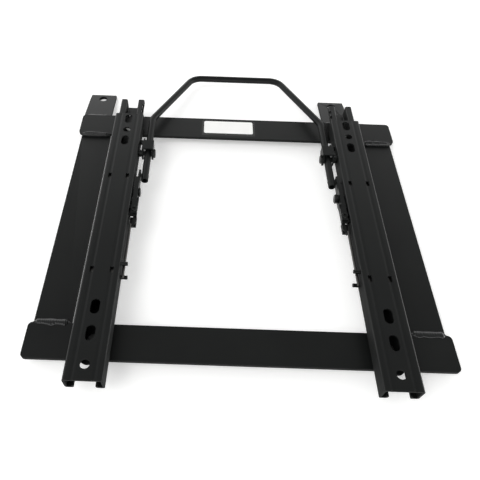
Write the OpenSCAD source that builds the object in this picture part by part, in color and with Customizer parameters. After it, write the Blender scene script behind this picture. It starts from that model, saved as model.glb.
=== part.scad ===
// Seat slide rail set: two sliding rails on a welded flat-bar base, with a
// towel-bar release handle. Millimetres, +Z up, +Y to the front of the vehicle.
// Drawn just released: the lock teeth are clear of the notches.

/* [Base] */
// Length of both cross bars, left to right
bar_length = 462.4; // [450:0.2:476]
// Width of the flat bar stock
bar_width = 41.6; // [40:0.2:45]
// Thickness of the cross bars
bar_thickness = 4.5; // [4:0.5:6]
// Thickness of the side plates and front tabs
plate_thickness = 4.5; // [4:0.5:6]
// Distance over the outer edges of the two cross bars
base_length = 389.6; // [384:0.2:394]
// Diameter of the holes in the front tabs
tab_hole_d = 12.5; // [10:0.5:14]

/* [Rails] */
// Distance between the centre lines of the two rails
rail_pitch = 312.2; // [300:0.2:324]
// Length of each upper rail
rail_length = 397; // [390:1:404]
// Outside width of the upper rails
rail_width = 40.4; // [40:0.2:44]
// Diameter of the round seat holes and width of the seat slots
seat_hole_d = 10; // [8.4:0.2:11]
// Overall length of the seat slots
seat_slot_length = 18; // [14:1:20]

/* [Lock and handle] */
// Distance from one lock notch to the next
notch_pitch = 11; // [10:0.5:12]
// Diameter of the handle rod
rod_d = 9.5; // [8.5:0.5:10.5]
// Diameter of the handle pivot bolts
pivot_d = 6; // [5:0.5:6]
// Reach of the grip ahead of the handle pivots
grip_reach = 189.9; // [180:0.1:200]
// Diameter of the return spring wire
wire_d = 3; // [2.5:0.25:3.5]

/* [Hidden] */
fine = 24;
bend_steps = 4;
rod_sides = 20;
fit = 0.1;
loose = 0.3;

// Base: the tabs dip towards the front, and their tips are the lowest points.
tab_tilt = 6;
tab_run = 57;
tab_root = base_length + 4.5;
tab_width = 39.4;
tab_flare = 1.2;
tab_tip_to_hole = 11;
tab_corner = 11;
tab_lap = 18;
plate_inset = 4;
tab_gap = 11.4;
right_tab_inner = bar_length / 2 - plate_inset - bar_width - tab_gap - tab_flare - tab_width;
z_plate = tab_run * sin(tab_tilt);
z_bar = z_plate + plate_thickness;
z_rail = z_bar + bar_thickness;
corner = 5;
bead = 4;
bead_run = 5.6;

// Rail section, from the centre line of the rail and the top of the cross bars.
half_w = rail_width / 2;
gauge_up = 2.3;
gauge_low = 2.2;
bend_r = 2.6;
z_top = 24.5;
z_under = z_top - gauge_up;
z_curl = 4.7;
z_curl_lip = 9.5;
curl_x = 10.8;
flange_x = curl_x - 0.6;
z_lip = 18;
z_lip_end = 11;
lip_x = half_w - gauge_up - 0.7;
groove_x = 11.3;
groove_w = 3.2;
groove_deep = 0.5;

// Stop tongue of the lower rail.
stop_r = flange_x - gauge_low;
stop_out = 8;
stop_root = 14;
z_stop = z_lip - 0.5;

// Rails along Y, from the rear edge of the rear cross bar.
upper_rear = -31;
lower_rear = -4;
lower_extra = 13.5;
upper_front = upper_rear + rail_length;
lower_front = lower_rear + rail_length + lower_extra;
circle_rear = -14.1;
circle_front = 331.3;
slots = [19.4, 50.2, 309.4, 354];
stop_cuts = [97, 242.5];
stop_w = 4.2;
stop_l = 8;

// Rail bolts, heads inside the lower rails.
bolt_d = 8;
bolt_head_d = 14.4;
bolt_head_h = 3;
bolt_back = 12;
bolt_rear = bar_width / 2;
bolt_front = base_length - bar_width / 2 - bolt_back;
nut_af = 13;
nut_h = 4.4;
web_hole_d = 15;
web_hole_back = 4.6;
web_hole_y = base_length - web_hole_back;

// Balls between the lip of the lower rail and the web of the upper rail.
ball_gap = z_under - z_lip;
ball_d = ball_gap - 0.4;
ball_x = 11.6;
cage_w = 5.2;
cage_t = 1;
cage_rear = 70;
cage_front = 285;
ball_places = [0.04, 0.36, 0.66, 0.96];

// Lock: an angle-section lever on a shoulder bolt, and a plate with three teeth
// riveted under its flange. The teeth reach through a window in the rail wall.
wall_x = rail_pitch / 2 - half_w;
lever_t = 2.6;
lever_in = wall_x - 7.3;
lever_out = lever_in + lever_t;
lever_pivot_y = 222;
lever_pivot_z = 15;
lever_bolt_d = 8;
lever_head_d = 12.5;
lever_head_h = 5;
lever_low_head_h = 2.2;
eye_run = 16;
pin_y = 251;
pin_d = 5;
fork_run = 5.5;
tooth_y = 194;
tooth_w = 5;
notch_in = lip_x - gauge_low;
notch_deep = 2.8;
tooth_in = notch_in + 0.5;
tooth_margin = 1.5;
notch_w = tooth_w + 1.2;
notch_first = -5;
notch_last = floor((lower_front - 4 - tooth_y - notch_w / 2) / notch_pitch);
z_tooth = z_lip + loose;
plate_t = 2;
plate_rear = tooth_y - notch_pitch - tooth_w / 2 - tooth_margin;
plate_front = tooth_y + notch_pitch + tooth_w / 2 + tooth_margin;
flange_t = 2.2;
flange_out = wall_x - 2.1;
flange_rear = plate_rear + 3;
flange_front = pin_y - 8;
ear_in = lever_in - 2.3;
ear_run = 18;
ear_front = flange_rear + ear_run;
z_flange = z_tooth + plate_t + flange_t;
rivet_y = tooth_y - notch_pitch / 2;
rivet_x = (ear_in + flange_out) / 2;
rivet_d = 5;
rivet_head_d = 8.6;
rivet_head_h = 1.6;

// Wire spring: held under the front stud, lying on the tail of the lever.
tail_run = 14;
tail_front = plate_rear + 1;
tail_rear = tail_front - tail_run;
tail_t = 3;
z_tail = z_rail + lever_pivot_z + 0.6;
stud_d = 4.6;
stud_y = [107, 95];
z_wire = z_tail + loose + wire_d / 2;
wire_x = wall_x - 3.1;

// Handle: one bent rod, pivoting in two saddles on the upper rails.
pivot_y = 293;
z_axis = z_rail + 16;
leg_x = wall_x - 8.15 - rod_d / 2;
leg_rear = 242;
leg_bend_y = 365;
leg_bend_r = 25;
end_bore = 6;
rod_wall = 1.5;
grip_y = pivot_y + grip_reach;
grip_x = 68;
grip_drop = 12;
grip_bend_r = 22;
saddle_t = 2.2;
saddle_off = 4.7;
saddle_gap = 2.3;
saddle_reach = 17;
lug_run = 9;
lug_stud_d = 7;
saddle_front = pivot_y + saddle_reach;
saddle_rear = pivot_y - 7;
saddle_out = wall_x - saddle_off;
lug_y = saddle_front + lug_run - lug_stud_d / 2 - 1;
cheek_x = leg_x - rod_d / 2 - 0.25;
pivot_head_d = 12.5;
pivot_head_h = 2.8;

// The origin is under the middle of the box around the part.
y_mid = (grip_y + rod_d / 2 + upper_rear) / 2;

paint = [0.12, 0.125, 0.12];
steel = [0.5, 0.5, 0.49];
zinc = [0.62, 0.63, 0.64];

function unit(v) = v / norm(v);
function arc(cx, cy, r, a, b) =
    [for (i = [0 : bend_steps]) let (t = a + (b - a) * i / bend_steps)
        [cx + r * cos(t), cy + r * sin(t)]];
function flip(p) = [for (i = [len(p) - 1 : -1 : 0]) [-p[i][0], p[i][1]]];

// Moves from the rear edge of the base to the shared origin.
module place() translate([0, -y_mid, 0]) children();
module left() mirror([1, 0, 0]) children();
module at_rail(z = z_rail) translate([rail_pitch / 2, 0, z]) children();
// Extrudes an X-Z outline along Y.
module along_y(a, b) translate([0, b, 0]) rotate([90, 0, 0]) linear_extrude(b - a) children();
// Extrudes a Y-Z outline along X.
module along_x(a, b) translate([a, 0, 0]) rotate([90, 0, 90]) linear_extrude(b - a) children();
module rod_x(a, b, y, z, d, n = fine)
    translate([a, y, z]) rotate([0, 90, 0]) cylinder(h = b - a, d = d, $fn = n);

module bar_outline(length, width) {
    x = length / 2 - corner;
    y = width / 2 - corner;
    polygon(concat(arc(x, y, corner, 0, 90), arc(-x, y, corner, 90, 180),
        arc(-x, -y, corner, 180, 270), arc(x, -y, corner, 270, 360)));
}

module cross_bar(y, bolt_y) difference() {
    translate([0, y, z_bar]) linear_extrude(bar_thickness) bar_outline(bar_length, bar_width);
    for (s = [-1, 1]) translate([s * rail_pitch / 2, bolt_y, z_bar - 1])
        cylinder(h = bar_thickness + 2, d = bolt_d + 0.4, $fn = fine);
}

// Tab that dips to the front from the edge x = inner, outer edge flared.
module dipped_tab(inner, outer) {
    hole_x = (inner + outer) / 2;
    translate([0, tab_root, z_plate]) rotate([-tab_tilt, 0, 0]) difference() {
        linear_extrude(plate_thickness) polygon([[inner, -0.2], [outer + tab_flare, -0.2],
            [outer + tab_flare * 0.35, tab_run - tab_corner], [outer - 0.5, tab_run], [inner, tab_run]]);
        translate([hole_x, tab_run - tab_tip_to_hole, -1])
            cylinder(h = plate_thickness + 2, d = tab_hole_d, $fn = fine);
    }
}

module side_plate() {
    outer = bar_length / 2 - plate_inset;
    inner = outer - bar_width;
    translate([0, 0, z_plate]) linear_extrude(plate_thickness)
        polygon([[inner, 3], [outer, 3], [outer, base_length - 3], [inner, base_length - 3]]);
}

module left_side_plate() color(paint) place() left() {
    outer = bar_length / 2 - plate_inset;
    tab_out = bar_length / 2 - tab_flare - 0.1;
    tab_in = tab_out - tab_width;
    translate([0, 0, z_plate]) linear_extrude(plate_thickness)
        polygon([[outer - bar_width, 3], [outer, 3], [outer, base_length - bar_width + 6],
            [tab_out + tab_flare, base_length - 6], [tab_out + tab_flare, tab_root],
            [tab_in, tab_root], [tab_in, base_length - 6], [outer - bar_width, base_length - 6]]);
    dipped_tab(tab_in, tab_out);
}
module right_side_plate() color(paint) place() side_plate();
module right_front_tab() color(paint) place() {
    tab_in = right_tab_inner;
    tab_out = tab_in + tab_width;
    translate([tab_in, base_length - tab_lap, z_plate])
        cube([tab_width + tab_flare, tab_root - base_length + tab_lap, plate_thickness]);
    dipped_tab(tab_in, tab_out);
}
module front_cross_bar() color(paint) place()
    cross_bar(base_length - bar_width / 2, bolt_front);
module rear_cross_bar() color(paint) place() cross_bar(bar_width / 2, bolt_rear);

// Fillet along X between a bar edge and the plate under it, side = 1 or -1.
module fillet(a, b, y, side, k = 1) along_x(a, b) translate([y, z_bar]) scale([side * k, k])
    polygon([[0, 0], [bead_run, 0], [bead_run * 0.45, bead * 0.65], [0, bead]]);
module weld_beads() color(paint) place() {
    a = bar_length / 2 - plate_inset - bar_width + 1;
    b = bar_length / 2 - plate_inset - 1;
    tab_in = right_tab_inner;
    for (s = [0, 1]) mirror([s, 0, 0]) {
        fillet(a, b, bar_width, 1);
        fillet(a, b, base_length - bar_width, -1, 0.6);
    }
    fillet(tab_in + 1, tab_in + tab_width, base_length, 1, 0.75);
    left() fillet(b - tab_width + 3, b + 2, base_length, 1, 0.75);
}

module lower_section() {
    x0 = flange_x - gauge_low;
    r = gauge_low;
    half = concat([[0, 0]], arc(flange_x - r, r, r, -90, 0),
        [[flange_x, z_lip - gauge_low], [lip_x - gauge_low, z_lip - gauge_low],
         [lip_x - gauge_low, z_lip_end], [lip_x, z_lip_end]],
        arc(lip_x - r, z_lip - r, r, 0, 90), arc(x0 + r, z_lip - r, r, 90, 180),
        [[x0, gauge_low + 0.6], [x0 - 0.6, gauge_low], [0, gauge_low]]);
    polygon(concat(half, flip([for (i = [1 : len(half) - 2]) half[i]])));
}
module lower_rail() at_rail() difference() {
    along_y(lower_rear, lower_front) lower_section();
    for (y = [bolt_rear, bolt_front]) translate([0, y, -1])
        cylinder(h = gauge_low + 2, d = bolt_d + 0.4, $fn = fine);
    translate([0, web_hole_y, -1]) cylinder(h = gauge_low + 2, d = web_hole_d, $fn = fine);
    for (k = [notch_first : notch_last])
        translate([-half_w, tooth_y + k * notch_pitch - notch_w / 2, z_lip - notch_deep])
            cube([half_w - notch_in, notch_w, notch_deep + 1]);
}
// Stop tongue at the rear end of the lower rail: the web steps up and ends round.
module stop_tongue() at_rail() intersection() {
    root = lower_rear + stop_root;
    tip = lower_rear - stop_out;
    along_x(-stop_r, stop_r) polygon([[root, 0], [root, gauge_low], [root - 6, gauge_low],
        [lower_rear + 2, z_stop], [tip, z_stop], [tip, z_stop - gauge_low],
        [lower_rear + 0.4, z_stop - gauge_low], [root - 8, 0]]);
    linear_extrude(z_stop) translate([0, tip + stop_r]) {
        circle(r = stop_r, $fn = fine);
        translate([-stop_r, 0]) square([2 * stop_r, root - tip]);
    }
}
module left_lower_rail() color(paint) place() left() {
    lower_rail();
    stop_tongue();
}
module right_lower_rail() color(paint) place() {
    lower_rail();
    stop_tongue();
}

module rail_bolts() color(zinc) place() for (s = [0, 1]) mirror([s, 0, 0])
    for (y = [bolt_rear, bolt_front]) at_rail() translate([0, y, 0]) {
        translate([0, 0, -bar_thickness - nut_h - 0.6])
            cylinder(h = bar_thickness + nut_h + 0.6 + gauge_low, d = bolt_d, $fn = fine);
        translate([0, 0, gauge_low]) cylinder(h = bolt_head_h, d1 = bolt_head_d,
            d2 = bolt_head_d - 1.4, $fn = fine);
    }
module rail_nuts() color(zinc) place() for (s = [0, 1]) mirror([s, 0, 0])
    for (y = [bolt_rear, bolt_front]) at_rail(z_bar - nut_h) translate([0, y, 0])
        difference() {
            cylinder(h = nut_h, d = nut_af / cos(30), $fn = 6);
            translate([0, 0, -1]) cylinder(h = nut_h + 2, d = bolt_d + fit, $fn = fine);
        }

module upper_section() {
    r = bend_r;
    ri = bend_r - gauge_up;
    groove = [for (i = [-4 : 4]) [groove_x + groove_w * i / 4,
        z_top - groove_deep * (1 + cos(45 * i)) / 2]];
    half = concat([[0, z_top]], groove,
        arc(half_w - r, z_top - r, r, 90, 0), arc(half_w - r, z_curl + r, r, 0, -90),
        arc(curl_x + r, z_curl + r, r, -90, -180),
        [[curl_x, z_curl_lip], [curl_x + gauge_up, z_curl_lip]],
        arc(curl_x + r, z_curl + r, ri, -180, -90), arc(half_w - r, z_curl + r, ri, -90, 0),
        arc(half_w - r, z_top - r, ri, 0, 90), [[0, z_under]]);
    polygon(concat(half, flip([for (i = [1 : len(half) - 2]) half[i]])));
}
module slot_cut(y) translate([0, y, z_under - 1]) linear_extrude(gauge_up + 2) {
    reach = (seat_slot_length - seat_hole_d) / 2;
    square([seat_hole_d, 2 * reach], center = true);
    for (s = [-1, 1]) translate([0, s * reach]) circle(d = seat_hole_d, $fn = fine);
}
module upper_rail() at_rail() difference() {
    along_y(upper_rear, upper_front) upper_section();
    for (y = [circle_rear, circle_front]) translate([0, y, z_under - 1])
        cylinder(h = gauge_up + 2, d = seat_hole_d, $fn = fine);
    for (y = slots) slot_cut(y);
    translate([-half_w - 1, plate_rear, z_lip - 5])
        cube([gauge_up + 2, plate_front - plate_rear, z_under - z_lip + 5]);
    rod_x(-half_w - 1, -half_w + 3, pivot_y, z_axis - z_rail, pivot_d + fit);
    rod_x(-half_w - 1, -half_w + 3, lug_y, z_axis - z_rail, stud_d + fit);
    rod_x(-half_w - 1, -half_w + 3, lever_pivot_y, lever_pivot_z, pivot_d + fit);
    rod_x(-half_w - 1, -half_w + 3, stud_y[0], stud_z(0) - z_rail, stud_d + fit);
    rod_x(-half_w - 1, -half_w + 3, stud_y[1], stud_z(1) - z_rail, stud_d + fit);
    for (y = stop_cuts, s = [-1, 1])
        translate([s * groove_x - stop_w / 2, y - stop_l / 2, z_under - 1])
            cube([stop_w, stop_l, gauge_up + 2]);
}
function stud_z(i) = i == 0 ? z_wire + wire_d / 2 + 0.15 + stud_d / 2
    : z_wire - wire_d / 2 - 2.3 - stud_d / 2;
module left_upper_rail() color(paint) place() left() upper_rail();
module right_upper_rail() color(paint) place() upper_rail();

// Saddle over the handle rod: inner cheek, top, and outer cheek with a lug. It
// stands off the rail wall on the pivot spacer and a stud.
module saddle() {
    z0 = z_axis - 7;
    z1 = z_axis + rod_d / 2 + saddle_gap;
    difference() {
        union() {
            translate([cheek_x - saddle_t, pivot_y, z1])
                cube([saddle_out - cheek_x + saddle_t, saddle_front - pivot_y, saddle_t]);
            for (x = [cheek_x - saddle_t, saddle_out - saddle_t]) along_x(x, x + saddle_t)
                polygon([[saddle_rear, z0 + 2], [saddle_rear + 2, z0], [saddle_front - 6, z0],
                    [saddle_front, z0 + 6], [saddle_front, z1], [pivot_y, z1],
                    [saddle_rear, z_axis + 5]]);
            along_x(saddle_out - saddle_t, saddle_out) polygon([[saddle_front - 2, z0 + 4],
                [saddle_front + lug_run - 2, z0 + 4], [saddle_front + lug_run, z0 + 6],
                [saddle_front + lug_run, z1 - 3], [saddle_front - 2, z1]]);
        }
        rod_x(cheek_x - saddle_t - 1, cheek_x + 1, pivot_y, z_axis, pivot_d + fit);
        rod_x(saddle_out - saddle_t - 1, saddle_out + 1, pivot_y, z_axis, pivot_d + fit);
        rod_x(saddle_out - saddle_t - 1, saddle_out + 1, lug_y, z_axis, stud_d + fit);
    }
}
module left_saddle() color(paint) place() left() saddle();
module right_saddle() color(paint) place() saddle();

// Stud that holds the saddle's lug off the wall, headed on the inside.
module saddle_stud() {
    rod_x(saddle_out - saddle_t - 1.2, saddle_out - saddle_t, lug_y, z_axis, lug_stud_d);
    rod_x(saddle_out - saddle_t, wall_x + gauge_up, lug_y, z_axis, stud_d);
    rod_x(saddle_out, wall_x, lug_y, z_axis, lug_stud_d);
}
module left_saddle_stud() color(zinc) place() left() saddle_stud();
module right_saddle_stud() color(zinc) place() saddle_stud();

module pivot_bolt() {
    rod_x(cheek_x - saddle_t, wall_x + gauge_up, pivot_y, z_axis, pivot_d);
    rod_x(cheek_x - saddle_t - pivot_head_h, cheek_x - saddle_t, pivot_y, z_axis,
        pivot_head_d, 6);
}
module left_pivot_bolt() color(zinc) place() left() pivot_bolt();
module right_pivot_bolt() color(zinc) place() pivot_bolt();

module pivot_spacer() difference() {
    rod_x(saddle_out, wall_x, pivot_y, z_axis, pivot_d + 4);
    rod_x(saddle_out - 1, wall_x + 1, pivot_y, z_axis, pivot_d + fit);
}
module left_pivot_spacer() color(zinc) place() left() pivot_spacer();
module right_pivot_spacer() color(zinc) place() pivot_spacer();

module lever_bolt(head) {
    z = z_rail + lever_pivot_z;
    rod_x(lever_in - 0.2 - head, lever_in - 0.2, lever_pivot_y, z, lever_head_d, 6);
    rod_x(lever_in - 0.2, wall_x, lever_pivot_y, z, lever_bolt_d);
    rod_x(lever_out + 0.2, wall_x, lever_pivot_y, z, lever_bolt_d + 2);
    rod_x(wall_x, wall_x + gauge_up, lever_pivot_y, z, pivot_d);
}
module left_lever_bolt() color(zinc) place() left() lever_bolt(lever_low_head_h);
module right_lever_bolt() color(zinc) place() lever_bolt(lever_head_h);

module spring_studs() for (i = [0, 1])
    rod_x(wire_x - wire_d / 2 - 3, wall_x + gauge_up, stud_y[i], stud_z(i), stud_d);
module left_spring_studs() color(steel) place() left() spring_studs();
module right_spring_studs() color(steel) place() spring_studs();

// Stations [point, direction] of a rod through the points p, bend radius r per point.
function turn(p, i) = acos(unit(p[i] - p[i - 1]) * unit(p[i + 1] - p[i]));
function bend(p, r, i) = let (d1 = unit(p[i] - p[i - 1]), d2 = unit(p[i + 1] - p[i]),
    n1 = unit(d2 - (d2 * d1) * d1), c = p[i] - d1 * r * tan(turn(p, i) / 2) + n1 * r,
    m = ceil(turn(p, i) / 8))
    [for (j = [0 : m]) let (t = turn(p, i) * j / m)
        [c + r * (d1 * sin(t) - n1 * cos(t)), d1 * cos(t) + n1 * sin(t)]];
function stations(p, r) = concat([[p[0], unit(p[1] - p[0])]],
    [for (i = [1 : len(p) - 2]) each bend(p, r[i], i)],
    [[p[len(p) - 1], unit(p[len(p) - 1] - p[len(p) - 2])]]);
// One closed rod of rod_sides flats through those stations.
module bent_rod(p, r, d) {
    st = stations(p, r);
    n = rod_sides;
    last = (len(st) - 1) * n;
    polyhedron(points = [for (s = st, k = [0 : n - 1]) let (side = unit(cross(s[1], [0, 0, 1])),
            up = cross(side, s[1]), t = 360 * k / n)
            s[0] + d / 2 * (side * cos(t) + up * sin(t))],
        faces = concat([[for (k = [0 : n - 1]) k], [for (k = [n - 1 : -1 : 0]) last + k]],
            [for (i = [0 : len(st) - 2], k = [0 : n - 1], h = [0, 1]) let (q = (k + 1) % n)
                h == 0 ? [i * n + k, i * n + n + k, i * n + q]
                    : [i * n + q, i * n + n + k, i * n + n + q]]));
}
module straight(a, b, d) {
    v = b - a;
    translate(a) rotate([0, acos(v[2] / norm(v)), atan2(v[1], v[0])])
        cylinder(h = norm(v), d = d, $fn = 16);
}
module towel_bar() color(paint) place() difference() {
    bent_rod([[-leg_x, leg_rear, z_axis], [-leg_x, leg_bend_y, z_axis],
        [-grip_x, grip_y, z_axis - grip_drop], [grip_x, grip_y, z_axis - grip_drop],
        [leg_x, leg_bend_y, z_axis], [leg_x, leg_rear, z_axis]],
        [0, leg_bend_r, grip_bend_r, grip_bend_r, leg_bend_r, 0], rod_d);
    for (s = [0, 1]) mirror([s, 0, 0]) {
        rod_x(leg_x - rod_d, leg_x + rod_d, pivot_y, z_axis, pivot_d + fit);
        rod_x(leg_x - rod_d, leg_x + rod_d, pin_y, z_axis, pin_d);
        translate([leg_x, leg_rear + end_bore, z_axis]) rotate([90, 0, 0])
            cylinder(h = end_bore + 1, d = rod_d - 2 * rod_wall, $fn = fine);
    }
}
module lever_pins() color(steel) place() for (s = [0, 1]) mirror([s, 0, 0])
    rod_x(leg_x - rod_d / 2, lever_out + 0.8, pin_y, z_axis, pin_d);

// Lever of the lock: web with a slot for the pin and an eye on the shoulder bolt,
// flange towards the rail wall, and a tail for the wire.
module lock_lever() {
    z = z_rail + lever_pivot_z;
    difference() {
        union() {
            along_x(lever_in, lever_out) polygon([[pin_y + fork_run, z - 4.5],
                [pin_y + fork_run, z + 6.5], [flange_front, z_rail + z_flange],
                [plate_front, z_rail + z_flange], [plate_front, z_rail + z_tooth],
                [tail_front, z_rail + z_tooth], [tail_front, z_tail], [tail_rear, z_tail],
                [tail_rear, z_tail - tail_t], [flange_rear + 6, z - 6],
                [lever_pivot_y - eye_run, z - 6], [lever_pivot_y - eye_run / 2, z - 8.5],
                [lever_pivot_y + eye_run / 2, z - 8.5], [lever_pivot_y + eye_run, z - 4.5]]);
            translate([0, 0, z_rail + z_flange - flange_t]) linear_extrude(flange_t)
                polygon([[lever_in, flange_front], [flange_out, flange_front],
                    [flange_out, flange_rear], [ear_in, flange_rear], [ear_in, ear_front],
                    [lever_in, ear_front + 5]]);
            tail();
        }
        rod_x(lever_in - 1, lever_out + 1, lever_pivot_y, z, lever_bolt_d + fit);
        along_x(lever_in - 1, lever_out + 1) translate([pin_y, z_axis]) {
            square([3, pin_d + 0.4], center = true);
            for (s = [-1, 1]) translate([s * 1.5, 0]) circle(d = pin_d + 0.4, $fn = fine);
        }
        rivet_hole();
    }
}
// Tail: a shelf under the wire, with a lobe that keeps the wire from slipping off.
module tail() {
    lobe_out = wire_x - wire_d / 2 - 0.5;
    translate([ear_in, tail_rear, z_tail - tail_t])
        cube([wire_x + wire_d / 2 - ear_in, tail_front - tail_rear, tail_t]);
    translate([0, 0, z_tail - 1]) linear_extrude(wire_d + 0.6)
        polygon([[lobe_out, tail_rear - 3], [lobe_out, tail_front], [ear_in, tail_front],
            [ear_in, tail_rear + 5]]);
}
module rivet_hole() translate([rivet_x, rivet_y, z_rail + z_tooth])
    cylinder(h = plate_t + flange_t + 1, d = rivet_d, $fn = fine);
module left_lock_lever() color(paint) place() left() lock_lever();
module right_lock_lever() color(paint) place() lock_lever();

module lock_plate() difference() {
    tip = rail_pitch / 2 - tooth_in;
    translate([0, 0, z_rail + z_tooth]) union() {
        translate([ear_in, plate_rear, 0])
            cube([flange_out - ear_in, plate_front - plate_rear, plate_t]);
        for (k = [-1, 0, 1])
            translate([flange_out - 0.1, tooth_y + k * notch_pitch - tooth_w / 2, 0])
                cube([tip - flange_out + 0.1, tooth_w, plate_t]);
    }
    rivet_hole();
}
module left_lock_plate() color(paint) place() left() lock_plate();
module right_lock_plate() color(paint) place() lock_plate();

// Semi-tubular rivet: its head lies on the flange.
module lever_rivet() translate([rivet_x, rivet_y, z_rail + z_tooth]) difference() {
    union() {
        cylinder(h = plate_t + flange_t, d = rivet_d, $fn = fine);
        translate([0, 0, plate_t + flange_t])
            cylinder(h = rivet_head_h, d1 = rivet_head_d, d2 = rivet_head_d - 2, $fn = fine);
    }
    translate([0, 0, plate_t + flange_t + 0.4])
        cylinder(h = rivet_head_h, d = rivet_d - 2, $fn = fine);
}
module left_lever_rivet() color(steel) place() left() lever_rivet();
module right_lever_rivet() color(steel) place() lever_rivet();

module return_spring()
    straight([wire_x, stud_y[1] - 4, z_wire], [wire_x, tail_rear + 2, z_wire], wire_d);
module left_return_spring() color(steel) place() left() return_spring();
module right_return_spring() color(steel) place() return_spring();

function ball_y(f) = cage_rear + f * (cage_front - cage_rear);
module ball_cages() at_rail(z_rail + z_lip + ball_gap / 2) for (s = [-1, 1]) difference() {
    translate([s * ball_x - cage_w / 2, cage_rear, -cage_t / 2])
        cube([cage_w, cage_front - cage_rear, cage_t]);
    for (f = ball_places) translate([s * ball_x, ball_y(f), -cage_t])
        cylinder(h = 2 * cage_t, d = ball_d + 0.2, $fn = fine);
}
module balls() at_rail(z_rail + z_lip + ball_gap / 2) for (s = [-1, 1], f = ball_places)
    translate([s * ball_x, ball_y(f), 0]) sphere(d = ball_d, $fn = 14);
module left_ball_cages() color(steel) place() left() ball_cages();
module left_balls() color(zinc) place() left() balls();
module right_ball_cages() color(steel) place() ball_cages();
module right_balls() color(zinc) place() balls();

left_side_plate();
right_side_plate();
right_front_tab();
front_cross_bar();
rear_cross_bar();
weld_beads();
left_lower_rail();
right_lower_rail();
rail_bolts();
rail_nuts();
left_upper_rail();
left_saddle();
left_saddle_stud();
left_pivot_bolt();
left_pivot_spacer();
left_lever_bolt();
left_spring_studs();
right_upper_rail();
right_saddle();
right_saddle_stud();
right_pivot_bolt();
right_pivot_spacer();
right_lever_bolt();
right_spring_studs();
towel_bar();
lever_pins();
left_lock_lever();
left_lock_plate();
left_lever_rivet();
right_lock_lever();
right_lock_plate();
right_lever_rivet();
left_return_spring();
right_return_spring();
left_ball_cages();
left_balls();
right_ball_cages();
right_balls();
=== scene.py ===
"""Looks of a seat slide rail: two sliding rails on a welded flat-bar base.

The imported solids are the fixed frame. This script gives them their finishes and
soft edges, and adds what is too fine for the solids: rippled weld beads,
chamfered bolt heads and nuts, and a blank sticker on a clear film. Metres, +Z up,
+Y to the front of the vehicle, where the handle is.
"""

import logging
import math
import random
from dataclasses import dataclass, field
from enum import Enum

import bmesh
import bpy
from mathutils import Matrix, Vector

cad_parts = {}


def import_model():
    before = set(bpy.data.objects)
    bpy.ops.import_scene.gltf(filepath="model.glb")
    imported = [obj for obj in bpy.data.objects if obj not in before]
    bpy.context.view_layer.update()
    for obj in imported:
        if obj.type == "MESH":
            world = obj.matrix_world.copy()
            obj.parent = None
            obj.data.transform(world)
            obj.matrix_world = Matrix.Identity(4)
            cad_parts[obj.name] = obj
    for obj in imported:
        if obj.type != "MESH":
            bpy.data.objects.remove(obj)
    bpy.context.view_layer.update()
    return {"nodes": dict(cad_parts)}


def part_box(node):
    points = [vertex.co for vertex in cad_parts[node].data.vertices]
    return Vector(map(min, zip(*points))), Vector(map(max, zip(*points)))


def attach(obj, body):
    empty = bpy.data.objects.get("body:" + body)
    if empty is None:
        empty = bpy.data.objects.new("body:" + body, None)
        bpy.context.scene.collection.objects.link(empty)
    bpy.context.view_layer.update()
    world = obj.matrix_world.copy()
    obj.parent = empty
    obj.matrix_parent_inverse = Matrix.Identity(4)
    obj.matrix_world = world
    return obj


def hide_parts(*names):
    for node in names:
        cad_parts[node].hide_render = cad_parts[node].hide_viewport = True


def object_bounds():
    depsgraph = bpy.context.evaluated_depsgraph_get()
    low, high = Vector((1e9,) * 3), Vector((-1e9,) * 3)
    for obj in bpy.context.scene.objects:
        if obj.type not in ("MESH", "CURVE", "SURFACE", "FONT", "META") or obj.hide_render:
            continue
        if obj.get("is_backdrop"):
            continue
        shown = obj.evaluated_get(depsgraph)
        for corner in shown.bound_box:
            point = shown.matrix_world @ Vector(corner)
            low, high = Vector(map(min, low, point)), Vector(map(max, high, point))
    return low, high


log = logging.getLogger("seat_slide_rail")

MM = 0.001
WHITE = (1.0, 1.0, 1.0, 1.0)
# A noise texture keeps most of its values between these two.
NOISE_LOW = 0.3
NOISE_HIGH = 0.7
# The mix node has its sockets once for each kind of value: places of those for numbers and colours.
MIX_NUMBERS = (2, 3)
MIX_COLOURS = (6, 7)
MIX_COLOUR_OUT = 2
# Half the angle between neighbouring flats of a hexagon.
HALF_HEX = math.pi / 6

Colour = tuple[float, float, float, float]
Points = list[tuple[float, float, float]]
Faces = list[tuple[int, ...]]
Skin = tuple[Points, Faces]
Socket = bpy.types.NodeSocket
Term = Socket | float


class Side(Enum):
    """The two sides of the part, as the sign of X."""

    LEFT = -1
    RIGHT = 1

    @property
    def word(self) -> str:
        """Name of the side as the solids use it."""
        return self.name.lower()


class Shading(Enum):
    """How a new mesh is shaded: facets by angle, or smooth all over."""

    BY_ANGLE = math.radians(32)
    ROUND = math.pi


def linear(code: str) -> Colour:
    """Turns an sRGB hex colour into the linear colour that sockets take.

    Args:
        code: colour such as "#1b1c1c".

    Returns:
        Red, green, blue and an alpha of one.
    """
    parts = [int(code[i:i + 2], 16) / 255 for i in (1, 3, 5)]
    red, green, blue = (p / 12.92 if p <= 0.04045 else ((p + 0.055) / 1.055) ** 2.4 for p in parts)
    return red, green, blue, 1.0


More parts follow.
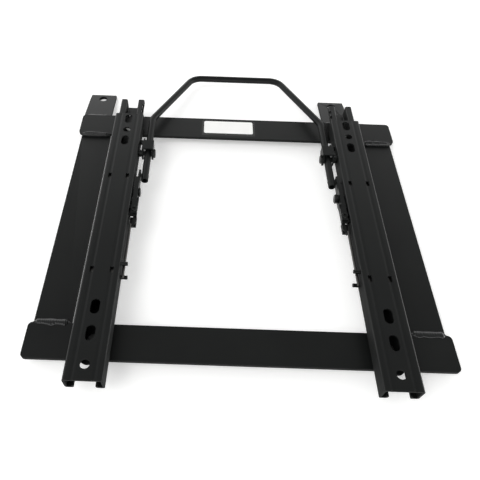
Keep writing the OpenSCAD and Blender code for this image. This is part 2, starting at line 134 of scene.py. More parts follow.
@dataclass
class Board:
    """A node tree, with the few kinds of node that this script adds to it."""

    tree: bpy.types.NodeTree

    def add(self, kind: str, settings: dict | None = None) -> bpy.types.Node:
        """Adds one node with its values and incoming links.

        Args:
            kind: Blender's name of the node type.
            settings: values or sockets by input, and values by the node's own attributes.

        Returns:
            The new node.
        """
        node = self.tree.nodes.new(kind)
        for name, value in (settings or {}).items():
            if isinstance(value, Socket):
                self.tree.links.new(value, node.inputs[name])
            elif isinstance(name, int) or name in node.inputs:
                node.inputs[name].default_value = value
            else:
                setattr(node, name, value)
        return node

    def place(self) -> Socket:
        """Place on the piece, in metres."""
        return self.add("ShaderNodeTexCoord").outputs["Object"]

    def noise(self, place: Socket, size_mm: float, detail: float) -> Socket:
        """Adds a noise texture.

        Args:
            place: where the texture is read.
            size_mm: width of its features.
            detail: layers of finer noise in it.

        Returns:
            Its value, which swings about a half.
        """
        settings = {"Scale": 1.0 / (size_mm * MM), "Detail": detail, "Vector": place}
        return self.add("ShaderNodeTexNoise", settings).outputs["Fac"]

    def combine(self, operation: str, *terms: Term) -> Socket:
        """Adds one step of arithmetic.

        Args:
            operation: Blender's name of the step.
            terms: numbers and sockets, in the order of the node's inputs.

        Returns:
            The result.
        """
        return self.add("ShaderNodeMath", {"operation": operation, **dict(enumerate(terms))}).outputs[0]

    def spread(self, value: Socket, span: tuple[float, float], ends: tuple[Term, Term],
               smooth: bool = False) -> Socket:
        """Maps a span of values to a new range, and holds its ends beyond the span.

        Args:
            value: value to map.
            span: first and last value of the span.
            ends: results at the first and at the last value.
            smooth: whether the result eases in and out.

        Returns:
            The result.
        """
        settings = {"interpolation_type": "SMOOTHSTEP" if smooth else "LINEAR", "Value": value,
                    "From Min": span[0], "From Max": span[1], "To Min": ends[0], "To Max": ends[1]}
        return self.add("ShaderNodeMapRange", settings).outputs[0]

    def tint(self, share: Socket, first: str, second: str) -> Socket:
        """Mixes two colours.

        Args:
            share: 0 for the first colour, 1 for the second.
            first: hex colour.
            second: hex colour.

        Returns:
            The mixed colour.
        """
        low, high = MIX_COLOURS
        settings = {"data_type": "RGBA", 0: share, low: linear(first), high: linear(second)}
        return self.add("ShaderNodeMix", settings).outputs[MIX_COLOUR_OUT]

    def bump(self, height: Socket, depth_mm: float) -> Socket:
        """Turns a value into fine relief.

        Args:
            height: value from 0 to 1.
            depth_mm: depth of the relief.

        Returns:
            The normal of the relief.
        """
        settings = {"Strength": 1.0, "Distance": depth_mm * MM, "Height": height}
        return self.add("ShaderNodeBump", settings).outputs["Normal"]

    def close(self, settings: dict) -> None:
        """Ends the tree with one principled shader and the output.

        Args:
            settings: values and sockets of the shader.
        """
        shader = self.add("ShaderNodeBsdfPrincipled", settings)
        self.add("ShaderNodeOutputMaterial", {"Surface": shader.outputs["BSDF"]})


def new_material(name: str) -> tuple[bpy.types.Material, Board]:
    """Makes a material with an empty node tree.

    Args:
        name: name of the material.

    Returns:
        The material and the board of its tree.
    """
    material = bpy.data.materials.new(name)
    material.use_nodes = True
    material.node_tree.nodes.clear()
    return material, Board(material.node_tree)


@dataclass(frozen=True)
class PowderCoat:
    """Satin black polyester powder, sprayed and baked on steel.

    The eye sees a deep neutral black, a broad soft reflection, and the faint
    unevenness of a film that flowed while it was baked.
    """

    name: str = "powder_coat_satin_black_baked"
    colour: str = "#101111"
    thick_colour: str = "#131514"
    # Below the 1.5 of plain polyester, because the grain of the film scatters light.
    ior: float = 1.28
    roughness: float = 0.36
    roughness_swing: float = 0.05
    # Powder falls on the part from above, so steep walls have a thinner, drier film.
    wall_roughness: float = 0.42
    wall_rise: float = 0.55
    # The real film ripples at about 1 mm; drawn coarser, so that it shows.
    ripple_mm: float = 2.6
    ripple_depth_mm: float = 0.022
    # Powder grain of about 0.1 mm, drawn coarser for the same reason.
    grain_mm: float = 0.7
    cloud_mm: float = 55.0

    def material(self) -> bpy.types.Material:
        """Builds the material.

        Returns:
            The material.
        """
        material, board = new_material(self.name)
        coords = board.add("ShaderNodeTexCoord")
        place = coords.outputs["Object"]
        cloud = board.noise(place, self.cloud_mm, detail=3.0)
        grain = board.noise(place, self.grain_mm, detail=2.0)
        ripple = board.noise(place, self.ripple_mm, detail=1.5)
        swing = (self.roughness - self.roughness_swing, self.roughness + self.roughness_swing)
        rough = board.spread(board.combine("ADD", cloud, grain), (2 * NOISE_LOW, 2 * NOISE_HIGH), swing)
        facing = board.add("ShaderNodeSeparateXYZ", {0: coords.outputs["Normal"]})
        rise = board.combine("ABSOLUTE", facing.outputs["Z"])
        dry = board.spread(rise, (0.0, self.wall_rise), (self.wall_roughness, 0.0))
        board.close({"IOR": self.ior, "Base Color": board.tint(cloud, self.colour, self.thick_colour),
                     "Roughness": board.combine("ADD", rough, dry),
                     "Normal": board.bump(ripple, self.ripple_depth_mm)})
        return material


@dataclass(frozen=True)
class PlatedSteel:
    """Steel with a thin plated or rolled surface, such as a bolt or a ball.

    The eye sees a metal reflection, broken by fine marks of the tool that
    headed, rolled or drew the piece.
    """

    name: str
    colour: str
    worn_colour: str
    roughness: float
    mark_mm: float
    mark_depth_mm: float
    stretch: tuple[float, float, float] = (1.0, 1.0, 1.0)
    roughness_swing: float = 0.06

    def material(self) -> bpy.types.Material:
        """Builds the material.

        Returns:
            The material.
        """
        material, board = new_material(self.name)
        along = board.add("ShaderNodeMapping", {"Scale": self.stretch, "Vector": board.place()})
        marks = board.noise(along.outputs["Vector"], self.mark_mm, detail=3.0)
        swing = (self.roughness - self.roughness_swing, self.roughness + self.roughness_swing)
        board.close({"Metallic": 1.0, "Base Color": board.tint(marks, self.colour, self.worn_colour),
                     "Roughness": board.spread(marks, (NOISE_LOW, NOISE_HIGH), swing),
                     "Normal": board.bump(marks, self.mark_depth_mm)})
        return material


@dataclass(frozen=True)
class Vinyl:
    """Cast film of a sticker, white or clear.

    The eye sees an even face with a soft gloss, slightly drawn by the adhesive
    behind it. The clear film shows the black coat under it.
    """

    name: str
    colour: str
    shade_colour: str
    roughness: float = 0.38
    pull_mm: float = 9.0
    pull_depth_mm: float = 0.03
    ior: float = 1.46

    def material(self) -> bpy.types.Material:
        """Builds the material.

        Returns:
            The material.
        """
        material, board = new_material(self.name)
        pull = board.noise(board.place(), self.pull_mm, detail=2.0)
        board.close({"Roughness": self.roughness, "IOR": self.ior,
                     "Base Color": board.tint(pull, self.colour, self.shade_colour),
                     "Normal": board.bump(pull, self.pull_depth_mm)})
        return material


class Finishes:
    """The materials of the part, built once."""

    def __init__(self) -> None:
        """Builds every material."""
        self.coat = PowderCoat().material()
        # Small parts hang free while they are sprayed, and take an even, thinner and duller film.
        self.small_coat = PowderCoat("powder_coat_satin_black_all_round", ior=1.22,
                                     wall_roughness=0.0).material()
        # The film flows out glossier on the smooth bead than on the rolled bar.
        self.weld_coat = PowderCoat("powder_coat_black_flowed_on_weld", ior=1.4,
                                    roughness=0.24).material()
        # Dark and slightly glossy, with the fine marks of the heading tool.
        self.fastener = PlatedSteel("zinc_plated_steel_black_passivated", "#1d1e1e", "#292a29",
                                    roughness=0.36, mark_mm=1.1, mark_depth_mm=0.012).material()
        # Pale grey and half dull, so that it stands out in the holes of the black rails.
        self.bolt = PlatedSteel("zinc_plated_steel_clear_passivated", "#787978", "#878886",
                                roughness=0.38, mark_mm=1.1, mark_depth_mm=0.012).material()
        # Dark grey, with marks drawn out along the wire.
        self.wire = PlatedSteel("spring_steel_drawn_oiled", "#40403e", "#525150",
                                roughness=0.34, mark_mm=0.8, mark_depth_mm=0.01,
                                stretch=(1.0, 0.08, 1.0)).material()
        # Bright and nearly a mirror.
        self.bearing = PlatedSteel("bearing_steel_ground", "#8b8c8c", "#a0a09e",
                                   roughness=0.22, mark_mm=0.9, mark_depth_mm=0.004).material()
        # An even white that the lamp nearly burns out.
        self.sticker = Vinyl("vinyl_film_white_cast", "#f7f7f5", "#f0f0ee").material()
        # A glossier, slightly wavy black rim around the white sticker.
        self.clear_film = Vinyl("polyester_film_clear_over_black", "#161717", "#1f2120",
                                roughness=0.22, pull_mm=6.0, pull_depth_mm=0.12).material()


def set_finish(obj: bpy.types.Object, material: bpy.types.Material) -> None:
    """Gives a piece one material in all its slots.

    Args:
        obj: solid or new piece.
        material: its finish.
    """
    if not obj.material_slots:
        obj.data.materials.append(material)
    for entry in obj.material_slots:
        entry.material = material


@dataclass(frozen=True)
class SoftEdges:
    """Rounds a solid's sharp edges, as coat and tumbling round real ones."""

    edge_mm: float
    segments: int = 2
    # Corners nearer than this are one corner, split by the mesh of the solid.
    split_mm: float = 0.002
    # Faces that turn by less than this are one flat face.
    flat_angle: float = math.radians(0.4)
    # Edges that turn by more than this are sharp.
    sharp_angle: float = math.radians(40)

    def apply(self, obj: bpy.types.Object) -> None:
        """Adds the modifiers to a solid.

        Args:
            obj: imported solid.
        """
        weld = obj.modifiers.new("join_split_edges", "WELD")
        weld.merge_threshold = self.split_mm * MM
        flat = obj.modifiers.new("join_flat_faces", "DECIMATE")
        flat.decimate_type = "DISSOLVE"
        flat.angle_limit = self.flat_angle
        bevel = obj.modifiers.new("soft_edges", "BEVEL")
        bevel.width = self.edge_mm * MM
        bevel.segments = self.segments
        bevel.limit_method = "ANGLE"
        bevel.angle_limit = self.sharp_angle
        bevel.harden_normals = True
        bevel.use_clamp_overlap = True
        obj.data.shade_smooth()
        even = obj.modifiers.new("even_normals", "WEIGHTED_NORMAL")
        even.keep_sharp = True


def make_piece(name: str, skin: Skin, material: bpy.types.Material, body: str,
               shading: Shading = Shading.BY_ANGLE) -> bpy.types.Object:
    """Makes a new mesh piece that rides on a body.

    Args:
        name: name of the piece.
        skin: its corners in the shared frame, in metres, and the corner numbers of each face.
        material: finish of the piece.
        body: body that the piece moves with.
        shading: how its faces are shaded.

    Returns:
        The piece.
    """
    points, faces = skin
    mesh = bpy.data.meshes.new(name)
    mesh.from_pydata(points, [], faces)
    work = bmesh.new()
    work.from_mesh(mesh)
    bmesh.ops.recalc_face_normals(work, faces=work.faces)
    for edge in work.edges:
        edge.smooth = len(edge.link_faces) == 2 and edge.calc_face_angle() < shading.value
    for face in work.faces:
        face.smooth = True
    work.to_mesh(mesh)
    work.free()
    obj = bpy.data.objects.new(name, mesh)
    bpy.context.scene.collection.objects.link(obj)
    set_finish(obj, material)
    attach(obj, body)
    log.info("piece %s: %d faces on %s", name, len(mesh.polygons), body)
    return obj


def loft(rings: list[Points], closed_ends: bool = True) -> Skin:
    """Joins rings of equal count into one skin.

    Args:
        rings: rings of points, each in the same order.
        closed_ends: whether the first and last ring are filled.

    Returns:
        Points and faces of the skin.
    """
    count = len(rings[0])
    points = [p for ring in rings for p in ring]
    faces: Faces = []
    for i in range(len(rings) - 1):
        for k in range(count):
            a, b = i * count + k, i * count + (k + 1) % count
            faces.append((a, b, b + count, a + count))
    if closed_ends:
        faces.append(tuple(range(count)))
        faces.append(tuple(range((len(rings) - 1) * count, len(rings) * count)))
    return points, faces


def merge(skins: list[Skin]) -> Skin:
    """Puts several skins into one.

    Args:
        skins: points and faces of each.

    Returns:
        Points and faces of all.
    """
    points: Points = []
    faces: Faces = []
    for skin_points, skin_faces in skins:
        start = len(points)
        points += skin_points
        faces += [tuple(start + i for i in face) for face in skin_faces]
    return points, faces


def full_turn(steps: int) -> list[float]:
    """Angles of a full turn in equal steps."""
    return [2 * math.pi * k / steps for k in range(steps)]


def circle_x(centre: Vector, radius: float, steps: int = 40) -> Points:
    """Circle around an axis along X.

    Args:
        centre: middle of the circle.
        radius: its radius.
        steps: its facets.

    Returns:
        Points of the circle.
    """
    return [(centre.x, centre.y + radius * math.cos(turn), centre.z + radius * math.sin(turn))
            for turn in full_turn(steps)]


def rounded_box(x: list[float], y: list[float], corner: float, steps: int = 6) -> list[tuple[float, float]]:
    """Outline of a rectangle with round corners.

    Args:
        x: left and right edge.
        y: near and far edge.
        corner: radius of the corners.
        steps: facets in each corner.

    Returns:
        Points of the outline, counter-clockwise.
    """
    centres = [(x[1] - corner, y[1] - corner, 0), (x[0] + corner, y[1] - corner, 1),
               (x[0] + corner, y[0] + corner, 2), (x[1] - corner, y[0] + corner, 3)]
    outline = []
    for cx, cy, quarter in centres:
        for k in range(steps + 1):
            turn = math.pi / 2 * (quarter + k / steps)
            outline.append((cx + corner * math.cos(turn), cy + corner * math.sin(turn)))
    return outline


@dataclass(frozen=True)
class HexShape:
    """A hex head or nut along +Z with the turned chamfer of the real one."""

    half_flat: float
    height: float
    bore: float = 0.0
    steps: int = 72
    # Radius of the round end face, as a share of half the width over flats.
    face_share: float = 0.96
    chamfer: float = math.radians(30)
    # Radius of the lead-in of the bore, as a share of the bore's own.
    lead_share: float = 1.12

    def ring(self, z: float, crown: float) -> Points:
        """Ring of the hexagon at height z, dropped where a corner is chamfered.

        Args:
            z: height of the ring on the flats.
            crown: 1 for the upper side, -1 for the underside.

        Returns:
            Points of the ring.
        """
        points = []
        for turn in full_turn(self.steps):
            off = (turn + HALF_HEX) % (2 * HALF_HEX) - HALF_HEX
            radius = self.half_flat / math.cos(off)
            drop = crown * (radius - self.face_share * self.half_flat) * math.tan(self.chamfer)
            points.append((radius * math.cos(turn), radius * math.sin(turn), z - drop))
        return points

    def circle(self, radius: float, z: float) -> Points:
        """Circle of the same count as the hexagon's rings."""
        return [(radius * math.cos(turn), radius * math.sin(turn), z) for turn in full_turn(self.steps)]

    def skin(self, place: Matrix) -> Skin:
        """Points and faces of the shape, moved by a matrix.

        Args:
            place: where the shape goes.

        Returns:
            Points and faces.
        """
        face = self.face_share * self.half_flat
        rings = [self.circle(face, 0.0), self.ring(0.0, -1.0), self.ring(self.height, 1.0),
                 self.circle(face, self.height)]
        if self.bore > 0:
            lead = self.lead_share * self.bore
            rings = [self.circle(lead, 0.0), *rings, self.circle(lead, self.height),
                     self.circle(self.bore, self.height - lead + self.bore),
                     self.circle(self.bore, lead - self.bore), self.circle(lead, 0.0)]
        points, faces = loft(rings, closed_ends=self.bore <= 0)
        return [tuple(place @ Vector(p)) for p in points], faces


@dataclass
class Dresser:
    """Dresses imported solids: finish and soft edges, reported one by one."""

    nodes: dict[str, bpy.types.Object]

    def dress(self, names: list[str], material: bpy.types.Material, edge_mm: float = 0.0) -> None:
        """Gives solids a finish and soft edges.

        Args:
            names: nodes to dress.
            material: their finish.
            edge_mm: width of the rounded edges; zero leaves them as they are.
        """
        for name in names:
            set_finish(self.nodes[name], material)
            if edge_mm > 0:
                SoftEdges(edge_mm).apply(self.nodes[name])
            log.info("solid %s: %s", name, material.name)


@dataclass(frozen=True)
class BeadRun:
    """Where one weld bead lies: its ends along X and the edge of the bar, in metres.

    The side is 1 where the plate lies ahead of the edge and -1 where it lies
    behind it. The scale is the size beside the largest beads, and the lap is how
    far the bead reaches on the top of the bar, with zero for a plain fillet.
    """

    x: tuple[float, float]
    y_edge: float
    side: int
    scale: float = 1.0
    lap_mm: float = 0.0


@dataclass(frozen=True)
class WeldBead:
    """A hand-laid, rippled bead along X, in the corner of a bar and a plate."""

    leg_y_mm: float = 6.2
    leg_z_mm: float = 4.1
    # Height of a bead that laps on its bar, and the turn of its face past the crest.
    lap_leg_z_mm: float = 4.8
    wrap: float = math.radians(30)
    pitch_mm: float = 2.6
    ripple_mm: float = 0.55
    # Share of the ripple that is left at the toes.
    toe_ripple: float = 0.5
    # How far each ripple bows along the bead at the crest.
    bow_mm: float = 1.6
    # The hand drifts between this many points; toe and lap follow it.
    sway_points: int = 9
    toe_sway_mm: float = 0.7
    lap_sway: float = 0.4
    # Shares of width and height at an end, and how fast the width grows with the share of the length.
    end_width: float = 0.25
    end_height: float = 0.55
    end_slope: float = 6.0
    step_mm: float = 0.6
    arc_steps: int = 10

    def drift(self, sway: list[float], share: float) -> float:
        """How far the hand has drifted at one place of the bead.

        Args:
            sway: drift at points in equal steps along the bead.
            share: place as a share of the length.

        Returns:
            Drift from -1 to 1.
        """
        spot = share * (len(sway) - 1)
        low = min(int(spot), len(sway) - 2)
        return sway[low] + (sway[low + 1] - sway[low]) * (spot - low)

    def ring(self, run: BeadRun, floor: float, share: float, drift: float) -> Points:
        """Section of the bead at one place.

        Args:
            run: where the bead lies.
            floor: height of the plate's upper face.
            share: place as a share of the length.
            drift: drift of the hand there.

        Returns:
            Points of the section, from its root around the rippled face.
        """
        wrap = self.wrap if run.lap_mm > 0 else 0.0
        full_leg_z = self.lap_leg_z_mm if run.lap_mm > 0 else run.scale * self.leg_z_mm
        end = min(1.0, self.end_slope * min(share, 1 - share) + self.end_width)
        travel = (run.x[1] - run.x[0]) * share / MM
        leg_y = run.scale * (self.leg_y_mm + self.toe_sway_mm * drift) * end
        leg_z = full_leg_z * (self.end_height + (1 - self.end_height) * end) / math.cos(wrap)
        lap = run.lap_mm * (1 + self.lap_sway * drift) * end
        reach = (leg_y + lap) / (1 + math.sin(wrap))
        x = run.x[0] + travel * MM
        ring = [(x, run.y_edge - run.side * lap * MM, floor)]
        for k in range(self.arc_steps + 1):
            turn = (math.pi / 2 + wrap) * k / self.arc_steps
            crest = math.sin(math.pi * k / self.arc_steps)
            phase = 2 * math.pi * (travel + self.bow_mm * crest + drift) / self.pitch_mm
            depth = self.toe_ripple + (1 - self.toe_ripple) * crest
            ripple = self.ripple_mm * depth * abs(math.cos(phase / 2))
            out = leg_y - reach + (reach + ripple) * math.cos(turn)
            up = (leg_z + ripple) * math.sin(turn)
            ring.append((x, run.y_edge + run.side * out * MM, floor + up * MM))
        return ring

    def skin(self, run: BeadRun, floor: float, chance: random.Random) -> Skin:
        """Points and faces of one bead.

        Args:
            run: where the bead lies.
            floor: height of the plate's upper face.
            chance: source of the hand-made unevenness.

        Returns:
            Points and faces.
        """
        sway = [chance.uniform(-1, 1) for _ in range(self.sway_points)]
        count = round((run.x[1] - run.x[0]) / (self.step_mm * MM))
        shares = [i / count for i in range(count + 1)]
        return loft([self.ring(run, floor, share, self.drift(sway, share)) for share in shares])


@dataclass
class WeldedBase:
    """Flat-bar base with its weld beads, sticker and the lower rails."""

    dresser: Dresser
    finishes: Finishes
    bar_edge_mm: float = 0.8
    rail_edge_mm: float = 0.5
    bolt_edge_mm: float = 0.4
    # How far the beads on the rear and front bar lap on its top.
    bead_lap_mm: tuple[float, float] = (3.4, 3.0)
    # Size of the beads behind the front bar and on the tabs, beside those on the rear bar.
    front_bead_scale: float = 0.4
    tab_bead_scale: float = 0.75
    # How far beads end inside the edges of plates, of the left tab, and of the right tab's outer edge.
    bead_inset_mm: float = 0.6
    left_tab_inset_mm: float = 3.0
    right_tab_inset_mm: float = 2.0
    sticker_x_mm: tuple[float, float] = (-47.6, 24.9)
    sticker_y_mm: tuple[float, float] = (129.1, 155.6)
    sticker_corner_mm: float = 2.6
    sticker_mm: float = 0.16
    # How far the clear film reaches past the sticker: left and right, rear, front.
    clear_rim_mm: tuple[float, float, float] = (3.2, 5.0, 1.4)
    clear_film_mm: float = 0.096
    film_edge_mm: float = 0.08
    nut_flats_mm: float = 13.0
    nut_bore_mm: float = 8.2
    seed: int = 7

    def build(self) -> None:
        """Dresses the base and adds its beads, nuts and sticker."""
        coat = self.finishes.coat
        plates = ["left_side_plate", "right_side_plate", "right_front_tab", "front_cross_bar",
                  "rear_cross_bar"]
        self.dresser.dress(plates, coat, self.bar_edge_mm)
        self.dresser.dress(["left_lower_rail", "right_lower_rail"], coat, self.rail_edge_mm)
        self.dresser.dress(["rail_bolts"], self.finishes.bolt, self.bolt_edge_mm)
        self.add_beads()
        self.add_nuts()
        self.add_sticker()

    def add_beads(self) -> None:
        """Adds the beads along the bar edges that cross the plates and tabs."""
        front_low, front_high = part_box("front_cross_bar")
        rear_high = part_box("rear_cross_bar")[1]
        plate_low, plate_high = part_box("right_side_plate")
        tab_low, tab_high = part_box("right_front_tab")
        left_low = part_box("left_side_plate")[0]
        inset = self.bead_inset_mm * MM
        left_inset = self.left_tab_inset_mm * MM
        right = (plate_low.x + inset, plate_high.x - inset)
        left = (-right[1], -right[0])
        right_tab = (tab_low.x + inset, tab_high.x - self.right_tab_inset_mm * MM)
        left_tab = (left_low.x + left_inset, left_low.x + (tab_high.x - tab_low.x) - left_inset)
        rear_lap, front_lap = self.bead_lap_mm
        runs = [BeadRun(x, rear_high.y, side=1, lap_mm=rear_lap) for x in (right, left)]
        runs += [BeadRun(x, front_low.y, side=-1, scale=self.front_bead_scale, lap_mm=front_lap)
                 for x in (right, left)]
        runs += [BeadRun(x, front_high.y, side=1, scale=self.tab_bead_scale) for x in (right_tab, left_tab)]
        bead = WeldBead()
        chance = random.Random(self.seed)
        skin = merge([bead.skin(run, plate_high.z, chance) for run in runs])
        piece = make_piece("weld_bead_runs", skin, self.finishes.weld_coat, "base",
                           Shading.ROUND)
        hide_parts("weld_beads")

    def add_nuts(self) -> None:
        """Adds chamfered nuts under the bars in place of the plain ones."""
        low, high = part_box("rail_nuts")
        half_flat = self.nut_flats_mm / 2 * MM
        corner = half_flat / math.cos(HALF_HEX)
        shape = HexShape(half_flat, high.z - low.z, self.nut_bore_mm / 2 * MM)
        skins = [shape.skin(Matrix.Translation((x, y, low.z)))
                 for x in (low.x + corner, high.x - corner)
                 for y in (low.y + half_flat, high.y - half_flat)]
        piece = make_piece("rail_nuts_chamfered", merge(skins), self.finishes.fastener, "base")
        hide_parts("rail_nuts")

    def film(self, name: str, x_mm: tuple[float, float], y_mm: tuple[float, float], thick_mm: float,
             material: bpy.types.Material) -> None:
        """Lays a film with round corners on the front bar.

        Args:
            name: name of the piece.
            x_mm: left and right edge.
            y_mm: rear and front edge.
            thick_mm: height of its face over the bar.
            material: finish of the film.
        """
        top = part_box("front_cross_bar")[1].z
        x, y = [v * MM for v in x_mm], [v * MM for v in y_mm]
        edge = self.film_edge_mm * MM
        corner = self.sticker_corner_mm * MM
        outline = rounded_box(x, y, corner)
        inner = rounded_box([x[0] + edge, x[1] - edge], [y[0] + edge, y[1] - edge], corner)
        face = top + thick_mm * MM
        rings = [[(a, b, top) for a, b in outline], [(a, b, face - edge) for a, b in outline],
                 [(a, b, face) for a, b in inner]]
        make_piece(name, loft(rings), material, "base")

    def add_sticker(self) -> None:
        """Adds the blank sticker on the front bar, on the clear film that holds it."""
        side, rear, front = self.clear_rim_mm
        x, y = self.sticker_x_mm, self.sticker_y_mm
        self.film("clear_film", (x[0] - side, x[1] + side), (y[0] - rear, y[1] + front),
                  self.clear_film_mm, self.finishes.clear_film)
        self.film("blank_sticker", x, y, self.sticker_mm, self.finishes.sticker)


@dataclass
class Carriages:
    """Upper rails with what is bolted and pressed into their inner walls."""

    dresser: Dresser
    finishes: Finishes
    rail_edge_mm: float = 0.5
    saddle_edge_mm: float = 0.5
    stud_edge_mm: float = 0.25
    head_corners_mm: float = 12.5
    # Length and diameter of each step of a bolt, from under the head to its end.
    shank_mm: dict[str, tuple[tuple[float, float], ...]] = field(default_factory=lambda: {
        "pivot_bolt": ((22.4, 6.0),),
        "lever_bolt": ((3.0, 8.0), (4.5, 10.0), (2.3, 6.0)),
    })

    def build(self) -> None:
        """Dresses both carriages and adds their bolts."""
        for side in Side:
            word = side.word
            studs = [f"{word}_pivot_spacer", f"{word}_spring_studs", f"{word}_saddle_stud"]
            self.dresser.dress([f"{word}_upper_rail"], self.finishes.coat, self.rail_edge_mm)
            self.dresser.dress([f"{word}_saddle"], self.finishes.small_coat, self.saddle_edge_mm)
            self.dresser.dress(studs, self.finishes.fastener, self.stud_edge_mm)
            self.dresser.dress([f"{word}_ball_cages"], self.finishes.wire)
            self.dresser.dress([f"{word}_balls"], self.finishes.bearing)
            for kind in self.shank_mm:
                self.add_bolt(side, kind)

    def add_bolt(self, side: Side, kind: str) -> None:
        """Adds a bolt with a chamfered hex head in place of the plain one.

        Args:
            side: side of the part.
            kind: "pivot_bolt" or "lever_bolt".
        """
        node = f"{side.word}_{kind}"
        low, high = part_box(node)
        steps = self.shank_mm[kind]
        height = high.x - low.x - sum(step[0] for step in steps) * MM
        outer = high.x if side is Side.LEFT else low.x
        centre = Vector((outer, (low.y + high.y) / 2, (low.z + high.z) / 2))
        inward = Vector((side.value, 0, 0))
        turn = Matrix.Rotation(-side.value * math.pi / 2, 4, "Y")
        root = Matrix.Translation(centre + inward * height) @ turn
        skins = [HexShape(self.head_corners_mm / 2 * math.cos(HALF_HEX) * MM, height).skin(root)]
        depth = height
        for length_mm, across_mm in steps:
            ends = (centre + inward * depth, centre + inward * (depth + length_mm * MM))
            skins.append(loft([circle_x(end, across_mm / 2 * MM) for end in ends]))
            depth += length_mm * MM
        piece = make_piece(f"{node}_hex", merge(skins), self.finishes.fastener, f"{side.word}_carriage")
        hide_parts(node)


@dataclass
class Locks:
    """Lock levers, toothed plates, rivets and return wires."""

    dresser: Dresser
    finishes: Finishes
    lever_edge_mm: float = 0.4
    rivet_edge_mm: float = 0.25
    wire_edge_mm: float = 0.3

    def build(self) -> None:
        """Dresses both locks."""
        for side in Side:
            word = side.word
            levers = [f"{word}_lock_lever", f"{word}_lock_plate"]
            self.dresser.dress(levers, self.finishes.small_coat, self.lever_edge_mm)
            self.dresser.dress([f"{word}_lever_rivet"], self.finishes.fastener, self.rivet_edge_mm)
            self.dresser.dress([f"{word}_return_spring"], self.finishes.wire, self.wire_edge_mm)


@dataclass
class Handle:
    """Towel-bar handle: one rod bent four times, with a pin in each rear end."""

    dresser: Dresser
    finishes: Finishes
    rod_edge_mm: float = 0.5
    pin_edge_mm: float = 0.3

    def build(self) -> None:
        """Dresses the rod and its pins."""
        self.dresser.dress(["towel_bar"], self.finishes.small_coat, self.rod_edge_mm)
        self.dresser.dress(["lever_pins"], self.finishes.wire, self.pin_edge_mm)


@dataclass(frozen=True)
class CameraView:
    """The photograph's camera, in pixels of its square frame and in metres."""

    place_m: tuple[float, float, float] = (-0.04452, -0.425585, 0.498598)
    pitch_deg: float = 53.529
    roll_deg: float = 1.966
    focal_px: float = 485.84
    axis_px: float = 202.35
    image_px: float = 480.0
    sensor_mm: float = 36.0
    near_clip_m: float = 0.01

    def build(self) -> None:
        """Makes the camera and sets it as the scene's."""
        data = bpy.data.cameras.new("photo_camera")
        data.sensor_width = self.sensor_mm
        data.lens = self.sensor_mm * self.focal_px / self.image_px
        data.shift_x = (self.image_px / 2 - self.axis_px) / self.image_px
        data.clip_start = self.near_clip_m
        pitch, roll = math.radians(self.pitch_deg), math.radians(self.roll_deg)
        right = Vector((math.cos(roll), math.sin(roll) * math.sin(pitch), math.sin(roll) * math.cos(pitch)))
        up = Vector((-math.sin(roll), math.cos(roll) * math.sin(pitch), math.cos(roll) * math.cos(pitch)))
        back = Vector((0.0, -math.cos(pitch), math.sin(pitch)))
        turn = Matrix((right, up, back)).transposed().to_4x4()
        camera = bpy.data.objects.new("photo_camera", data)
        camera.matrix_world = Matrix.Translation(self.place_m) @ turn
        bpy.context.scene.collection.objects.link(camera)
        bpy.context.scene.camera = camera


@dataclass(frozen=True)
class Softbox:
    """One soft studio lamp."""

    name: str
    place_m: tuple[float, float, float]
    size_m: tuple[float, float]
    watts: float

    def build(self) -> None:
        """Makes the lamp, aimed at the middle of the part."""
        data = bpy.data.lights.new(self.name, "AREA")
        data.shape = "RECTANGLE"
        data.size, data.size_y = self.size_m
        data.energy = self.watts
        lamp = bpy.data.objects.new(self.name, data)
        lamp.location = self.place_m
        lamp.rotation_mode = "QUATERNION"
        lamp.rotation_quaternion = (-Vector(self.place_m)).to_track_quat("-Z", "Y")
        bpy.context.scene.collection.objects.link(lamp)


@dataclass(frozen=True)
class Sweep:
    """White paper floor under the part."""

    half_m: float = 6.0
    colour: str = "#f1f1f0"
    roughness: float = 0.9
    # Gap to the lowest point of the part, so that no faces coincide.
    gap_mm: float = 0.02
    # Share of white added to the floor as it is seen and mirrored, as an overexposed sweep has.
    lift: float = 0.3

    def build(self) -> None:
        """Lays the floor at the level of the lowest point of the part."""
        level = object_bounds()[0].z - self.gap_mm * MM
        corners = [(x * self.half_m, y * self.half_m, level)
                   for x, y in ((-1, -1), (1, -1), (1, 1), (-1, 1))]
        mesh = bpy.data.meshes.new("white_sweep_floor")
        mesh.from_pydata(corners, [], [(0, 1, 2, 3)])
        floor = bpy.data.objects.new("white_sweep_floor", mesh)
        bpy.context.scene.collection.objects.link(floor)
        set_finish(floor, self.material())
        floor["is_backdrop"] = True

    def material(self) -> bpy.types.Material:
        """Builds the matte white of the paper.

        Returns:
            The material.
        """
        material, board = new_material("sweep_paper_white_matte")
        ray = board.add("ShaderNodeLightPath").outputs
        mirrored = board.combine("MAXIMUM", ray["Is Glossy Ray"], ray["Is Transmission Ray"])
        seen = board.combine("MAXIMUM", ray["Is Camera Ray"], mirrored)
        board.close({"Base Color": linear(self.colour), "Roughness": self.roughness,
                     "Specular IOR Level": 0.0, "Emission Color": WHITE,
                     "Emission Strength": board.combine("MULTIPLY", seen, self.lift)})
        return material


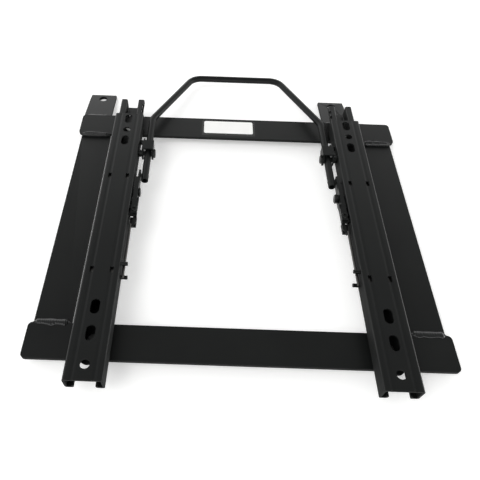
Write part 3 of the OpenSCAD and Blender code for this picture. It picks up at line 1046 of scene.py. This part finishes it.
@dataclass(frozen=True)
class Surround:
    """Light from all around: a horizon that is brightest ahead, low strips and a dim ceiling.

    Spans are cosines to the way they are named for, or heights as the Z of a way.
    """

    ceiling: float = 0.48
    far_horizon: float = 2.4
    side_horizon: float = 0.45
    near_horizon: float = 0.6
    bright_way: tuple[float, float, float] = (-0.42, 0.908, 0.0)
    # From the sides to the full far horizon, and from the full near horizon to its end.
    far_span: tuple[float, float] = (0.0, 0.9)
    near_span: tuple[float, float] = (-0.95, -0.4)
    # Heights between which the horizon turns into the ceiling.
    ceiling_span: tuple[float, float] = (0.15, 0.93)
    # Low strips on the left and right, and behind at their mean: thin lights on bends and cut edges.
    strips: tuple[float, float] = (1.6, 7.9)
    strip_span: tuple[float, float] = (0.7, 0.95)
    strip_fade: tuple[float, float] = (0.1, 0.36)

    def build(self) -> None:
        """Sets the world, which the camera itself sees as plain white."""
        world = bpy.data.worlds.new("studio_sweep")
        bpy.context.scene.world = world
        world.use_nodes = True
        world.node_tree.nodes.clear()
        board = Board(world.node_tree)
        way = board.add("ShaderNodeTexCoord").outputs["Generated"]
        x, y, z = board.add("ShaderNodeSeparateXYZ", {0: way}).outputs
        dot = {"operation": "DOT_PRODUCT", 0: way, 1: self.bright_way}
        ahead = board.add("ShaderNodeVectorMath", dot).outputs["Value"]
        far = board.spread(ahead, self.far_span, (self.side_horizon, self.far_horizon))
        near = board.spread(ahead, self.near_span, (self.near_horizon, 0.0))
        horizon = board.combine("ADD", far, near)
        level = board.spread(z, self.ceiling_span, (horizon, self.ceiling), smooth=True)
        across = board.combine("MAXIMUM", board.combine("ABSOLUTE", x), board.combine("MULTIPLY", y, -1.0))
        strength = board.spread(x, (-1.0, 1.0), self.strips)
        strip = board.spread(across, self.strip_span, (0.0, strength))
        fade = board.spread(z, self.strip_fade, (1.0, 0.0), smooth=True)
        glow = board.combine("MULTIPLY_ADD", strip, fade, level)
        seen = board.add("ShaderNodeLightPath").outputs["Is Camera Ray"]
        first, second = MIX_NUMBERS
        shown = board.add("ShaderNodeMix", {"data_type": "FLOAT", 0: seen, first: glow, second: 1.0})
        sky = board.add("ShaderNodeBackground", {"Color": WHITE, "Strength": shown.outputs[0]})
        board.add("ShaderNodeOutputWorld", {"Surface": sky.outputs[0]})


@dataclass
class Studio:
    """White sweep, surround, one soft lamp and the camera of a product photograph."""

    key: Softbox = Softbox("key_softbox", place_m=(-2.2, -1.8, 3.4), size_m=(2.7, 2.7), watts=74.0)

    def build(self) -> None:
        """Builds floor, world, lamp and camera."""
        for item in (Sweep(), Surround(), self.key, CameraView()):
            item.build()
        bpy.context.scene.view_settings.view_transform = "Standard"


def main() -> None:
    """Builds the scene in order."""
    logging.basicConfig(level=logging.INFO, format="%(name)s: %(message)s")
    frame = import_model()
    finishes = Finishes()
    dresser = Dresser(frame["nodes"])
    for assembly in (WeldedBase, Carriages, Locks, Handle):
        assembly(dresser, finishes).build()
    Studio().build()


if __name__ == "__main__":
    main()
